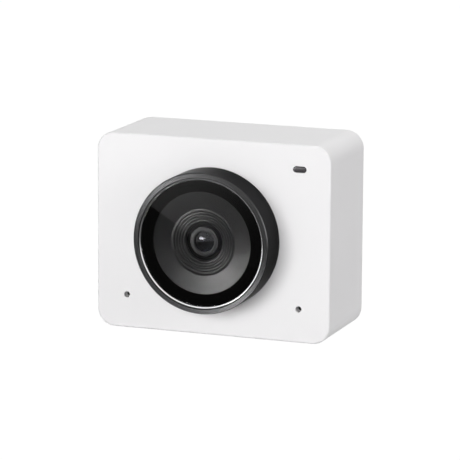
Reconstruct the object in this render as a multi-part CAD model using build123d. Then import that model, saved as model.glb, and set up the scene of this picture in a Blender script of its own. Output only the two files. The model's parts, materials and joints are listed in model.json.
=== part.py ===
"""Compact box-shaped webcam: white shell, large turned lens bezel, autofocus camera module.

Millimetres. X is to the right, the lens looks along -Y, +Z is up. The origin is under the middle
of the whole object, on the surface it stands on.
"""

import math
import os

from build123d import *

# Body shell
body_width = 50.0
body_height = 40.2
body_depth = 20.9
corner_radius = 3.6
face_edge_radius = 0.45
back_edge_radius = 0.3
side_wall = 1.6
front_wall = 1.8
rim_wall = 0.9
cover_thickness = 1.6
cover_gap = 0.1
cover_edge_chamfer = 0.2

# Places of the small features on the face, measured in from the body's edges
feature_side_inset = 6.5
mic_bottom_inset = 6.9
led_top_inset = 4.95

# Lens bezel and what it holds
bezel_protrusion = 6.7
bezel_radius = 14.35
bezel_rim_width = 1.01
bezel_seat_width = 2.85
bezel_edge_chamfer = 0.15
bezel_rim_chamfer = 0.06
spigot_wall = 0.9
spigot_gap = 0.1
glass_ledge_width = 1.44
glass_thickness = 0.7
glass_edge_chamfer = 0.08
glass_gap = 0.05
mask_thickness = 0.15
mask_width = 2.47
ledge_depth = 1.2
trim_width = 0.27
trim_setback = 0.2
trim_gap = 0.12

# Light-trapping funnel behind the glass
funnel_flange_width = 1.15
funnel_flange_thickness = 0.85
funnel_gap = 0.05
funnel_wall = 0.55
ridge_outer_radius = 6.6
ridge_count = 5
ridge_height = 0.1
cone_drop = 0.7
ridges_drop = 0.55
funnel_hole_radius = 3.87
funnel_hub_radius = 5.4
funnel_hub_wall = 0.45
hole_chamfer = 0.08
gasket_thickness = 0.35
gasket_inner_radius = 4.4
gasket_outer_radius = 5.3

# Autofocus motor
can_width = 11.0
can_wall = 0.3
can_corner_radius = 0.8
can_opening_radius = 3.5
frame_thickness = 0.5
frame_opening_radius = 4.6
fit_gap = 0.05
spring_thickness = 0.08
spring_ring_inner_radius = 3.1
spring_ring_outer_radius = 3.65
spring_frame_opening_radius = 4.75
spring_arm_width = 0.25
spring_arm_count = 4
spring_arm_sweep = 50.0
carrier_length = 3.47
carrier_radius = 3.7
carrier_flange_thickness = 0.3
coil_length = 1.6
coil_setback = 1.22
coil_thickness = 0.6
coil_flange_margin = 0.15
magnet_thickness = 0.75
magnet_length = 6.4
magnet_depth = 2.9
base_web = 0.57
base_flange_setback = 0.3
base_aperture = 5.6
base_cavity_width = 8.8
base_cavity_height = 8.0

# Lens barrel and its glass
barrel_radius = 2.96
thread_gap = 0.02
barrel_front_proud = 0.1
barrel_step_height = 0.1
barrel_step_outer_radius = 2.62
barrel_step_inner_radius = 2.16
barrel_edge_chamfer = 0.08
barrel_rear_setback = 0.2
front_cone_depth = 0.16
front_cone_rim = 0.08
front_lip = 0.14
element_count = 4
front_element_radius = 2.25
element_radius_step = 0.1
front_element_thickness = 1.05
middle_element_thickness = 0.85
rear_element_thickness = 1.15
front_element_rim = 0.17
inner_element_rim = 0.65
element_back_rim = 0.5
front_element_bulge = 0.65
inner_element_bulge = 0.12
front_element_hollow = 0.25
inner_element_hollow = 0.12
spacer_thickness = 0.1
pocket_gap = 0.02
retainer_hole_radius = 1.9

# Sensor stack
filter_width = 7.2
filter_height = 6.6
filter_thickness = 0.25
filter_air_gap = 0.1
sensor_width = 7.6
sensor_height = 6.2
sensor_thickness = 0.45
sensor_board_width = 16.0
sensor_board_height = 14.0
sensor_board_thickness = 0.8
sensor_screw_inset = 1.3
pad_size = 10.0
pad_thickness = 0.6
spreader_width = 28.6
spreader_height = 16.0
spreader_thickness = 1.0
spreader_corner_radius = 1.5
spreader_screw_side_inset = 1.7
spreader_screw_end_inset = 2.0

# Main board
board_standoff = 11.8
board_thickness = 1.0
board_side_gap = 1.8
board_corner_radius = 1.0
board_post_side_inset = 5.5
board_post_rise = 7.5
board_corner_clearance = 0.4
processor_size = 12.0
processor_thickness = 1.2
processor_x = -4.5
memory_width = 8.0
memory_height = 10.0
memory_thickness = 1.0
memory_x = 9.0
chip_rise = 4.5
inductor_size = 3.0
inductor_thickness = 1.6
inductor_pitch = 5.0
inductor_drop = 6.0
capacitor_width = 1.0
capacitor_height = 0.6
capacitor_thickness = 0.55
capacitor_pitch = 2.2
capacitor_count = 8
capacitor_rise = 13.0

# Ribbons and connectors
sensor_ribbon_width = 7.0
ribbon_thickness = 0.2
ribbon_bend_radius = 1.0
sensor_ribbon_climb = 4.0
sensor_connector_width = 8.5
sensor_connector_height = 3.0
connector_thickness = 1.0
mic_ribbon_width = 2.2
mic_ribbon_climb = 1.4
mic_ribbon_lap = 3.6
mic_connector_width = 3.2
mic_connector_height = 2.6
connector_rise = 1.5

# Microphones
mic_hole_radius = 0.64
mic_width = 3.5
mic_height = 2.7
mic_thickness = 1.0
mic_port_radius = 0.4
mic_board_length = 10.2
mic_board_height = 4.6
mic_board_thickness = 0.6
mic_board_overhang = 2.4
mic_mesh_radius = 1.8
mic_mesh_thickness = 0.1
mic_gasket_radius = 2.0
mic_gasket_hole_radius = 0.75
mic_gasket_thickness = 0.8
mic_screw_offset = 6.0
mic_ribbon_offset = 3.3
mic_post_radius = 1.5

# Status light
led_window_width = 2.8
led_window_height = 1.25
led_recess = 0.06
led_slot_gap = 0.03
led_flange_margin = 0.5
led_flange_thickness = 0.6
led_width = 1.6
led_height = 0.8
led_thickness = 0.6
led_air_gap = 0.1
channel_gap = 0.1

# Socket for the lead, standing on the main board and opening to the back
socket_width = 8.94
socket_height = 3.26
socket_wall = 0.3
socket_recess = 0.15
socket_rise_from_bottom = 9.5
socket_port_gap = 0.22
tongue_width = 6.69
tongue_thickness = 0.7
tongue_setback = 0.5
tongue_base_depth = 1.5

# Vents in the rear cover
vent_count = 7
vent_width = 0.9
vent_length = 7.0
vent_pitch = 2.6
vent_drop_from_top = 10.5

# Tripod insert in the bottom
tripod_bore_radius = 2.55
tripod_insert_radius = 4.0
tripod_insert_length = 6.5
tripod_insert_recess = 0.2
tripod_boss_wall = 1.3
tripod_y = 0.8
tripod_groove_depth = 0.3
tripod_groove_width = 1.2

# Posts and screws
corner_post_radius = 1.7
board_post_radius = 1.7
spreader_post_radius = 1.6
screw_hole_gap = 0.15
pilot_gap = 0.02
pilot_extra_depth = 0.5
cross_slot_width = 0.3
cross_slot_depth_share = 0.55
cross_slot_length_share = 1.2

cover_screw_radius = 0.8
cover_screw_head_radius = 1.45
cover_screw_head_height = 0.75
cover_screw_length = 6.5
cover_counterbore_gap = 0.2
cover_counterbore_depth = 0.9

bezel_screw_radius = 0.6
bezel_screw_head_radius = 1.05
bezel_screw_head_height = 0.65
bezel_screw_reach = 2.8
bezel_screw_count = 4
bezel_screw_first_angle = 45.0

spreader_screw_radius = 0.7
spreader_screw_head_radius = 1.25
spreader_screw_head_height = 0.7
spreader_screw_bite = 2.6

sensor_screw_radius = 0.5
sensor_screw_head_radius = 0.85
sensor_screw_head_height = 0.45

board_screw_radius = 0.8
board_screw_head_radius = 1.4
board_screw_head_height = 0.8
board_screw_bite = 4.0

mic_screw_radius = 0.6
mic_screw_head_radius = 1.1
mic_screw_head_height = 0.6
mic_screw_bite = 1.8

# Levels along Y, from the tip of the bezel to the back of the body
face_y = (bezel_protrusion - body_depth) / 2
tip_y = face_y - bezel_protrusion
back_y = face_y + body_depth
inner_y = face_y + front_wall
cover_y = back_y - cover_thickness
lens_z = body_height / 2

ledge_y = tip_y + ledge_depth
glass_back_y = ledge_y - mask_thickness
glass_front_y = glass_back_y - glass_thickness

funnel_front_y = ledge_y + funnel_gap
funnel_seat_y = funnel_front_y + funnel_flange_thickness
ridges_y = funnel_front_y + cone_drop
hub_y = ridges_y + ridges_drop
hub_back_y = hub_y + funnel_hub_wall

can_front_y = hub_back_y + gasket_thickness
frame_front_y = can_front_y + can_wall
upper_spring_y = frame_front_y + frame_thickness
carrier_front_y = upper_spring_y + spring_thickness
carrier_back_y = carrier_front_y + carrier_length
base_front_y = carrier_back_y + spring_thickness
web_back_y = base_front_y + base_web
filter_back_y = web_back_y + filter_thickness
sensor_front_y = filter_back_y + filter_air_gap
sensor_board_y = sensor_front_y + sensor_thickness
pad_y = sensor_board_y + sensor_board_thickness
spreader_y = pad_y + pad_thickness
spreader_back_y = spreader_y + spreader_thickness

main_board_y = inner_y + board_standoff
main_board_back_y = main_board_y + board_thickness

mic_gasket_y = inner_y + mic_mesh_thickness
mic_board_y = mic_gasket_y + mic_gasket_thickness
mic_board_back_y = mic_board_y + mic_board_thickness

# Radii round the lens axis, from the bezel inwards
bezel_bore_radius = bezel_radius - bezel_rim_width
trim_outer_radius = bezel_bore_radius - trim_gap
trim_inner_radius = trim_outer_radius - trim_width
glass_radius = trim_inner_radius - glass_gap
mask_inner_radius = glass_radius - mask_width
spigot_radius = bezel_radius - bezel_seat_width
funnel_bore_radius = spigot_radius - spigot_wall
funnel_pocket_radius = bezel_bore_radius - glass_ledge_width
funnel_flange_radius = funnel_pocket_radius - fit_gap
funnel_cone_radius = funnel_flange_radius - funnel_flange_width

# Lens elements, front to back
element_radii = [front_element_radius + i * element_radius_step for i in range(element_count)]
element_thicknesses = [middle_element_thickness] * element_count
element_thicknesses[0] = front_element_thickness
element_thicknesses[-1] = rear_element_thickness

# Places across the body
corner_post_x = body_width / 2 - corner_radius
corner_post_rise = body_height / 2 - corner_radius
board_post_x = body_width / 2 - board_post_side_inset
spreader_post_x = spreader_width / 2 - spreader_screw_side_inset
spreader_post_rise = spreader_height / 2 - spreader_screw_end_inset
bezel_screw_ring = (spigot_radius + bezel_radius) / 2
sensor_screw_x = sensor_board_width / 2 - sensor_screw_inset
sensor_screw_rise = sensor_board_height / 2 - sensor_screw_inset
mic_x = body_width / 2 - feature_side_inset
mic_z = mic_bottom_inset
led_x = body_width / 2 - feature_side_inset
led_z = body_height - led_top_inset
mic_screw_x = mic_x - mic_screw_offset
mic_ribbon_x = mic_x - mic_ribbon_offset
socket_z = socket_rise_from_bottom
sensor_board_top = lens_z + sensor_board_height / 2
sensor_ribbon_top = sensor_board_top + sensor_ribbon_climb
sensor_connector_z = sensor_ribbon_top - ribbon_bend_radius - connector_rise - sensor_connector_height / 2
mic_board_top = mic_z + mic_board_height / 2
mic_ribbon_z = mic_board_top + mic_ribbon_climb
mic_connector_z = mic_ribbon_z + connector_rise + mic_connector_height / 2
chip_z = lens_z + chip_rise

corner_posts = [
    (side * corner_post_x, lens_z + rise * corner_post_rise) for side in (-1, 1) for rise in (-1, 1)
]
board_posts = [
    (side * board_post_x, lens_z + rise * board_post_rise) for side in (-1, 1) for rise in (-1, 1)
]
spreader_posts = [
    (side * spreader_post_x, lens_z + rise * spreader_post_rise) for side in (-1, 1) for rise in (-1, 1)
]
bezel_screw_angles = [
    math.radians(bezel_screw_first_angle + 360 / bezel_screw_count * i) for i in range(bezel_screw_count)
]
bezel_screw_places = [
    (bezel_screw_ring * math.cos(a), lens_z + bezel_screw_ring * math.sin(a)) for a in bezel_screw_angles
]
sensor_screw_places = [(side * sensor_screw_x, lens_z + side * sensor_screw_rise) for side in (-1, 1)]
mic_places = [(side * mic_x, mic_z) for side in (-1, 1)]
mic_screw_places = [(side * mic_screw_x, mic_z) for side in (-1, 1)]


def slab(outline, front, back, x=0.0, z=lens_z):
    """Flat outline carried straight along Y from front to back, centred on x and z."""
    return extrude(Plane.XZ.offset(-back) * (Pos(x, z) * outline), back - front)


def disc(radius, front, back, x=0.0, z=lens_z):
    """Round bar along Y."""
    return slab(Circle(radius), front, back, x, z)


def block(width, height, front, back, x=0.0, z=lens_z):
    """Square-cornered block."""
    return slab(Rectangle(width, height), front, back, x, z)


def turned(*edges):
    """Solid turned about the lens axis from a closed outline of (radius, y) edges."""
    return Pos(0, 0, lens_z) * revolve(make_face(*edges), Axis.Y)


def turned_points(*points):
    """Solid turned about the lens axis from a closed outline of straight runs."""
    return turned(Polyline(*points, close=True).edges())


def group(solids):
    """Several separate solids as one shape."""
    return Compound(children=list(solids))


def screw(place, seat, radius, head_radius, head_height, length, facing=1):
    """Pan-head screw with a cross slot. Its head stands on the plane y = seat and faces +Y or -Y."""
    x, z = place
    head_end = seat + facing * head_height
    tip = seat - facing * length
    head = disc(head_radius, min(seat, head_end), max(seat, head_end), x, z)
    shank = disc(radius, min(seat, tip), max(seat, tip), x, z)
    floor = head_end - facing * head_height * cross_slot_depth_share
    low = min(floor, head_end)
    high = max(floor, head_end)
    slot_length = head_radius * cross_slot_length_share
    level_slot = block(slot_length, cross_slot_width, low, high, x, z)
    upright_slot = block(cross_slot_width, slot_length, low, high, x, z)
    return head + shank - level_slot - upright_slot


def rounded_body(inset):
    """The body's front outline, drawn in by inset all round."""
    width = body_width - 2 * inset
    height = body_height - 2 * inset
    return RectangleRounded(width, height, corner_radius - inset)


def make_front_housing():
    """One-piece shell: face, sides, top and bottom, with every post and boss moulded on."""
    shell = slab(rounded_body(0), face_y, back_y)
    faces = shell.faces().sort_by(Axis.Y)
    shell = fillet(faces[0].edges(), face_edge_radius)
    shell = fillet(shell.faces().sort_by(Axis.Y)[-1].edges(), back_edge_radius)
    shell -= slab(rounded_body(side_wall), inner_y, back_y)
    shell -= slab(rounded_body(rim_wall), cover_y, back_y)

    corner_reach = corner_radius - side_wall
    for x, z in corner_posts:
        side = math.copysign(1, x)
        rise = math.copysign(1, z - lens_z)
        shell += disc(corner_post_radius, inner_y, cover_y, x, z)
        filler_x = x + side * corner_reach / 2
        filler_z = z + rise * corner_reach / 2
        shell += block(corner_reach, corner_reach, inner_y, cover_y, filler_x, filler_z)
    for x, z in board_posts:
        shell += disc(board_post_radius, inner_y, main_board_y, x, z)
    for x, z in spreader_posts:
        shell += disc(spreader_post_radius, inner_y, spreader_y, x, z)
    for x, z in mic_screw_places:
        shell += disc(mic_post_radius, inner_y, mic_board_y, x, z)

    boss_radius = tripod_insert_radius + tripod_boss_wall
    insert_top = tripod_insert_recess + tripod_insert_length
    boss_height = insert_top + tripod_boss_wall - side_wall / 2
    shell += Pos(0, tripod_y, side_wall / 2) * extrude(Circle(boss_radius), boss_height)
    shell -= Pos(0, tripod_y, 0) * extrude(Circle(tripod_insert_radius), insert_top)
    shell += Pos(0, tripod_y, 0) * tripod_ribs(0)

    shell -= disc(spigot_radius + spigot_gap, face_y, inner_y)
    for x, z in bezel_screw_places:
        shell -= disc(bezel_screw_radius + screw_hole_gap, face_y, inner_y, x, z)
    for x, z in mic_places:
        shell -= disc(mic_hole_radius, face_y, inner_y, x, z)
        shell -= disc(mic_gasket_radius + channel_gap, inner_y, mic_board_y, x, z)
    for x, z in corner_posts:
        depth = cover_screw_length - (cover_thickness - cover_counterbore_depth) + pilot_extra_depth
        shell -= disc(cover_screw_radius + pilot_gap, cover_y - depth, cover_y, x, z)
    for x, z in board_posts:
        depth = board_screw_bite + pilot_extra_depth
        shell -= disc(board_screw_radius + pilot_gap, main_board_y - depth, main_board_y, x, z)
    for x, z in spreader_posts:
        depth = spreader_screw_bite + pilot_extra_depth
        shell -= disc(spreader_screw_radius + pilot_gap, spreader_y - depth, spreader_y, x, z)
    for x, z in mic_screw_places:
        depth = mic_screw_bite + pilot_extra_depth
        shell -= disc(mic_screw_radius + pilot_gap, mic_board_y - depth, mic_board_y, x, z)

    slot = SlotOverall(led_window_width + 2 * led_slot_gap, led_window_height + 2 * led_slot_gap)
    shell -= slab(slot, face_y, inner_y, led_x, led_z)
    channel_margin = 2 * (led_flange_margin + channel_gap)
    channel = SlotOverall(led_window_width + channel_margin, led_window_height + channel_margin)
    shell -= slab(channel, inner_y, main_board_back_y, led_x, led_z)
    return shell


def tripod_ribs(gap):
    """Ring that the shell grows into the insert's groove, drawn back from it by gap."""
    middle = tripod_insert_recess + tripod_insert_length / 2
    height = tripod_groove_width - 2 * gap
    ring = Circle(tripod_insert_radius) - Circle(tripod_insert_radius - tripod_groove_depth + gap)
    return Pos(0, 0, middle - height / 2) * extrude(ring, height)


def make_tripod_insert():
    """Brass bush moulded into the bottom, bored for a tripod screw and grooved so it can't pull out."""
    bush = Circle(tripod_insert_radius) - Circle(tripod_bore_radius)
    insert = Pos(0, tripod_y, tripod_insert_recess) * extrude(bush, tripod_insert_length)
    return insert - Pos(0, tripod_y, 0) * tripod_ribs(0)


def make_rear_cover():
    """Flat cover that drops into the shell's rim, with vents, screw seats and the lead's port."""
    cover = slab(rounded_body(rim_wall + cover_gap), cover_y, back_y)
    cover = chamfer(cover.faces().sort_by(Axis.Y)[-1].edges(), cover_edge_chamfer)
    for x, z in corner_posts:
        cover -= disc(cover_screw_radius + screw_hole_gap, cover_y, back_y, x, z)
        head_hole = cover_screw_head_radius + cover_counterbore_gap
        cover -= disc(head_hole, back_y - cover_counterbore_depth, back_y, x, z)
    port_width = socket_width + 2 * socket_port_gap
    port_height = socket_height + 2 * socket_port_gap
    cover -= slab(SlotOverall(port_width, port_height), cover_y, back_y, 0, socket_z)
    for i in range(vent_count):
        x = (i - (vent_count - 1) / 2) * vent_pitch
        vent = SlotOverall(vent_length, vent_width, rotation=90)
        cover -= slab(vent, cover_y, back_y, x, body_height - vent_drop_from_top)
    return cover


def make_lens_bezel():
    """Turned metal ring: rim, seat for the glass, pocket for the funnel and a spigot through the face."""
    bezel = turned_points(
        (bezel_radius, face_y),
        (bezel_radius, tip_y + bezel_edge_chamfer),
        (bezel_radius - bezel_edge_chamfer, tip_y),
        (bezel_bore_radius + bezel_rim_chamfer, tip_y),
        (bezel_bore_radius, tip_y + bezel_rim_chamfer),
        (bezel_bore_radius, ledge_y),
        (funnel_pocket_radius, ledge_y),
        (funnel_pocket_radius, funnel_seat_y),
        (funnel_bore_radius, funnel_seat_y),
        (funnel_bore_radius, inner_y),
        (spigot_radius, inner_y),
        (spigot_radius, face_y),
    )
    for x, z in bezel_screw_places:
        depth = bezel_screw_reach + pilot_extra_depth
        bezel -= disc(bezel_screw_radius + pilot_gap, face_y - depth, face_y, x, z)
    return bezel


def make_trim_ring():
    """Polished ring beside the glass, with a rounded front."""
    inner = trim_inner_radius
    outer = trim_outer_radius
    crown = trim_width / 2
    shoulder = tip_y + trim_setback + crown
    sides = Polyline((outer, shoulder), (outer, ledge_y), (inner, ledge_y), (inner, shoulder))
    bead = ThreePointArc((inner, shoulder), (inner + crown, shoulder - crown), (outer, shoulder))
    return turned(sides.edges() + bead.edges())


def make_cover_glass():
    """Flat round window with its edges just broken."""
    glass = disc(glass_radius, glass_front_y, glass_back_y)
    return chamfer(glass.edges(), glass_edge_chamfer)


def make_glass_mask():
    """Black border that also glues the window to the bezel's ledge."""
    return disc(glass_radius, glass_back_y, ledge_y) - disc(mask_inner_radius, glass_back_y, ledge_y)


def ridge_points():
    """Crests and valleys from the cone in to the hole: each ridge rises, then falls to the next level."""
    pitch = (ridge_outer_radius - funnel_hole_radius - hole_chamfer) / ridge_count
    step = ridges_drop / ridge_count
    points = []
    for i in range(ridge_count):
        outer = ridge_outer_radius - i * pitch
        level = ridges_y + i * step
        points.append((outer, level))
        points.append((outer - pitch / 2, level + step / 2 - ridge_height))
    return points


def make_lens_funnel():
    """Light trap: a flange in the bezel's pocket, a shallow cone, ridges, and a hub round the lens."""
    return turned_points(
        (funnel_flange_radius, funnel_seat_y),
        (funnel_flange_radius, funnel_front_y),
        (funnel_cone_radius, funnel_front_y),
        *ridge_points(),
        (funnel_hole_radius + hole_chamfer, hub_y),
        (funnel_hole_radius, hub_y + hole_chamfer),
        (funnel_hole_radius, hub_back_y),
        (funnel_hub_radius, hub_back_y),
        (ridge_outer_radius, ridges_y + funnel_wall),
        (funnel_bore_radius - fit_gap, funnel_seat_y),
    )


def make_module_gasket():
    """Foam ring that keeps dust out between the funnel and the camera module."""
    ring = Circle(gasket_outer_radius) - Circle(gasket_inner_radius)
    return slab(ring, hub_back_y, can_front_y)


def inner_can_width():
    """Free width inside the can."""
    return can_width - 2 * can_wall


def can_outline(width):
    """The can's square outline with rounded corners, at another width."""
    return RectangleRounded(width, width, can_corner_radius - (can_width - width) / 2)


def make_actuator_can():
    """Drawn steel can of the focus motor, with a round opening for the lens."""
    rear = base_front_y + base_flange_setback
    can = slab(can_outline(can_width), can_front_y, rear)
    can -= slab(can_outline(inner_can_width()), frame_front_y, rear)
    return can - disc(can_opening_radius, can_front_y, frame_front_y)


def make_actuator_frame():
    """Plastic frame that clamps the front spring against the magnets."""
    outline = can_outline(inner_can_width() - 2 * fit_gap) - Circle(frame_opening_radius)
    return slab(outline, frame_front_y, upper_spring_y)


def make_leaf_spring(front):
    """Flat spring: an outer frame, an inner ring on the carrier, and slanting arms between them."""
    frame = can_outline(inner_can_width() - 2 * fit_gap) - Circle(spring_frame_opening_radius)
    ring = Circle(spring_ring_outer_radius) - Circle(spring_ring_inner_radius)
    outline = frame + ring
    ring_middle = (spring_ring_inner_radius + spring_ring_outer_radius) / 2
    for i in range(spring_arm_count):
        start_angle = math.radians(360 / spring_arm_count * i)
        end_angle = start_angle + math.radians(spring_arm_sweep)
        start = Vector(ring_middle * math.cos(start_angle), ring_middle * math.sin(start_angle))
        reach = spring_frame_opening_radius + spring_arm_width
        end = Vector(reach * math.cos(end_angle), reach * math.sin(end_angle))
        run = end - start
        middle = (start + end) / 2
        turn = math.degrees(math.atan2(run.Y, run.X))
        outline += Pos(middle.X, middle.Y) * Rot(0, 0, turn) * Rectangle(run.length, spring_arm_width)
    return slab(outline, front, front + spring_thickness)


def make_lens_carrier():
    """Round bobbin that holds the barrel in its thread and the coil between two flanges."""
    bore = barrel_radius + thread_gap
    coil_front = carrier_front_y + coil_setback
    coil_back = coil_front + coil_length
    flange_radius = carrier_radius + coil_thickness - coil_flange_margin
    return turned_points(
        (bore, carrier_front_y),
        (carrier_radius, carrier_front_y),
        (carrier_radius, coil_front - carrier_flange_thickness),
        (flange_radius, coil_front - carrier_flange_thickness),
        (flange_radius, coil_front),
        (carrier_radius, coil_front),
        (carrier_radius, coil_back),
        (flange_radius, coil_back),
        (flange_radius, coil_back + carrier_flange_thickness),
        (carrier_radius, coil_back + carrier_flange_thickness),
        (carrier_radius, carrier_back_y),
        (bore, carrier_back_y),
    )


def make_actuator_coil():
    """Copper winding round the carrier."""
    front = carrier_front_y + coil_setback
    ring = Circle(carrier_radius + coil_thickness) - Circle(carrier_radius)
    return slab(ring, front, front + coil_length)


def make_actuator_magnets():
    """Four bar magnets glued to the can's inner walls."""
    reach = inner_can_width() / 2 - magnet_thickness / 2
    back = carrier_front_y + magnet_depth
    bars = []
    for side in (-1, 1):
        bars.append(block(magnet_thickness, magnet_length, carrier_front_y, back, side * reach, lens_z))
        bars.append(block(magnet_length, magnet_thickness, carrier_front_y, back, 0, lens_z + side * reach))
    return group(bars)


def make_actuator_base():
    """Plastic base: a web with the light's aperture, a flange for the can, and room for the sensor."""
    flange_y = base_front_y + base_flange_setback
    base = slab(can_outline(inner_can_width() - 2 * fit_gap), base_front_y, flange_y)
    base += slab(can_outline(can_width), flange_y, sensor_board_y)
    base -= block(base_aperture, base_aperture, base_front_y, web_back_y)
    return base - block(base_cavity_width, base_cavity_height, web_back_y, sensor_board_y)


def element_front_clear(i):
    """Radius of the domed part of an element's front."""
    return element_radii[i] - (inner_element_rim if i else front_element_rim)


def element_back_clear(i):
    """Radius of the hollow in an element's back."""
    return element_radii[i] - element_back_rim


def element_fronts():
    """Level of each lens element's front rim, and last the level behind the rear element."""
    barrel_front = hub_y - barrel_front_proud
    level = barrel_front + front_cone_depth + front_lip
    fronts = []
    for thickness in element_thicknesses:
        fronts.append(level)
        level += thickness + spacer_thickness
    return fronts + [level - spacer_thickness]


def make_lens_barrel():
    """Barrel with a stepped front ring, a cone down to the front glass and a bore that widens inwards."""
    front = hub_y - barrel_front_proud
    back = carrier_back_y - barrel_rear_setback
    fronts = element_fronts()
    lip_radius = element_front_clear(0) + pocket_gap
    outline = [
        (barrel_radius, back),
        (barrel_radius, front + barrel_step_height + barrel_edge_chamfer),
        (barrel_radius - barrel_edge_chamfer, front + barrel_step_height),
        (barrel_step_outer_radius, front + barrel_step_height),
        (barrel_step_outer_radius, front),
        (barrel_step_inner_radius, front),
        (barrel_step_inner_radius, front + front_cone_rim),
        (lip_radius, front + front_cone_depth),
        (lip_radius, fronts[0]),
    ]
    for i, radius in enumerate(element_radii):
        bore = radius + pocket_gap
        start = fronts[i] if i == 0 else fronts[i] - spacer_thickness
        end = back if i == element_count - 1 else fronts[i + 1] - spacer_thickness
        outline.append((bore, start))
        outline.append((bore, end))
    return turned_points(*outline)


def bulge_arc(centre_y, rim_y, clear_radius):
    """Arc from the axis to the clear radius, square to the axis where it crosses it."""
    rise = abs(rim_y - centre_y)
    radius = (clear_radius**2 + rise**2) / (2 * rise)
    half = clear_radius / 2
    half_drop = radius - math.sqrt(radius**2 - half**2)
    way = math.copysign(1, rim_y - centre_y)
    return ThreePointArc((0, centre_y), (half, centre_y + way * half_drop), (clear_radius, rim_y))


def make_lens_element(i):
    """One glass of the lens: domed in front, hollow behind, with a flat rim."""
    front = element_fronts()[i]
    back = front + element_thicknesses[i]
    radius = element_radii[i]
    front_clear = element_front_clear(i)
    back_clear = element_back_clear(i)
    dome = front - (inner_element_bulge if i else front_element_bulge)
    hollow = back - (inner_element_hollow if i else front_element_hollow)
    front_arc = bulge_arc(dome, front, front_clear)
    back_arc = bulge_arc(hollow, back, back_clear)
    rim = Polyline((front_clear, front), (radius, front), (radius, back), (back_clear, back))
    axis = Line((0, hollow), (0, dome))
    return turned(front_arc.edges() + rim.edges() + back_arc.edges() + axis.edges())


def make_lens_spacers():
    """Thin black rings between the lens elements."""
    fronts = element_fronts()
    rings = []
    for i in range(1, element_count):
        hole = max(element_back_clear(i - 1), element_front_clear(i))
        ring = Circle(element_radii[i]) - Circle(hole)
        rings.append(slab(ring, fronts[i] - spacer_thickness, fronts[i]))
    return group(rings)


def make_lens_retainer():
    """Ring glued in behind the rear element."""
    back = carrier_back_y - barrel_rear_setback
    ring = Circle(element_radii[-1]) - Circle(retainer_hole_radius)
    return slab(ring, element_fronts()[-1], back)


def make_infrared_filter():
    """Thin filter glued under the base's web."""
    return block(filter_width, filter_height, web_back_y, filter_back_y)


def make_image_sensor():
    """Image sensor on the sensor board."""
    return block(sensor_width, sensor_height, sensor_front_y, sensor_board_y)


def make_sensor_board():
    """Small circuit board behind the camera module."""
    outline = RectangleRounded(sensor_board_width, sensor_board_height, sensor_screw_inset / 2)
    board = slab(outline, sensor_board_y, pad_y)
    for x, z in sensor_screw_places:
        board -= disc(sensor_screw_radius + pilot_gap, sensor_board_y, pad_y, x, z)
    return board


def make_thermal_pad():
    """Soft pad that carries heat from the sensor board to the spreader."""
    return block(pad_size, pad_size, pad_y, spreader_y)


def make_heat_spreader():
    """Aluminium plate that holds the sensor board and screws to the shell's posts."""
    outline = RectangleRounded(spreader_width, spreader_height, spreader_corner_radius)
    plate = slab(outline, spreader_y, spreader_back_y)
    for x, z in spreader_posts:
        plate -= disc(spreader_screw_radius + screw_hole_gap, spreader_y, spreader_back_y, x, z)
    for x, z in sensor_screw_places:
        plate -= disc(sensor_screw_radius + pilot_gap, spreader_y, spreader_back_y, x, z)
    return plate


def make_main_board():
    """Main circuit board, notched round the corner posts."""
    levels = (main_board_y, main_board_back_y)
    margin = 2 * (side_wall + board_side_gap)
    outline = RectangleRounded(body_width - margin, body_height - margin, board_corner_radius)
    board = slab(outline, *levels)
    for x, z in corner_posts:
        board -= disc(corner_post_radius + board_corner_clearance, *levels, x, z)
    for x, z in board_posts:
        board -= disc(board_screw_radius + screw_hole_gap, *levels, x, z)
    return board


def on_board(width, height, thickness, x, z):
    """Block soldered to the back of the main board."""
    return block(width, height, main_board_back_y, main_board_back_y + thickness, x, z)


def make_board_components():
    """Small parts on the back of the main board: a row of capacitors and two power coils."""
    parts = []
    for i in range(capacitor_count):
        x = (i - (capacitor_count - 1) / 2) * capacitor_pitch
        z = lens_z + capacitor_rise
        parts.append(on_board(capacitor_width, capacitor_height, capacitor_thickness, x, z))
    for side in (-1, 1):
        x = side * (socket_width / 2 + inductor_pitch)
        parts.append(on_board(inductor_size, inductor_size, inductor_thickness, x, lens_z - inductor_drop))
    return group(parts)


def make_board_connectors():
    """Ribbon connectors on the front of the main board: one for the sensor, one for each microphone."""
    levels = (main_board_y - connector_thickness, main_board_y)
    solids = [block(sensor_connector_width, sensor_connector_height, *levels, 0, sensor_connector_z)]
    for side in (-1, 1):
        x = side * mic_ribbon_x
        solids.append(block(mic_connector_width, mic_connector_height, *levels, x, mic_connector_z))
    return group(solids)


def ribbon(width, x, *route):
    """Flat ribbon of the given width along a route of (y, z) points, with rounded bends."""
    path = Plane.YZ.offset(x) * FilletPolyline(*route, radius=ribbon_bend_radius)
    section = Plane(origin=path @ 0, x_dir=(1, 0, 0), z_dir=path % 0) * Rectangle(width, ribbon_thickness)
    return sweep(section, path)


def make_sensor_flex():
    """Ribbon from the top of the sensor board, over the spreader, to its connector."""
    start_y = sensor_board_y + sensor_board_thickness / 2
    end_y = main_board_y - connector_thickness - ribbon_thickness / 2
    end_z = sensor_connector_z - sensor_connector_height / 2
    return ribbon(
        sensor_ribbon_width,
        0,
        (start_y, sensor_board_top),
        (start_y, sensor_ribbon_top),
        (end_y, sensor_ribbon_top),
        (end_y, end_z),
    )


def make_microphone_flexes():
    """Ribbons from the microphone boards to their connectors."""
    start_y = mic_board_back_y + ribbon_thickness / 2
    end_y = main_board_y - connector_thickness - ribbon_thickness / 2
    end_z = mic_connector_z + mic_connector_height / 2
    return group(
        ribbon(
            mic_ribbon_width,
            side * mic_ribbon_x,
            (start_y, mic_board_top - mic_ribbon_lap),
            (start_y, mic_ribbon_z),
            (end_y, mic_ribbon_z),
            (end_y, end_z),
        )
        for side in (-1, 1)
    )


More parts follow.
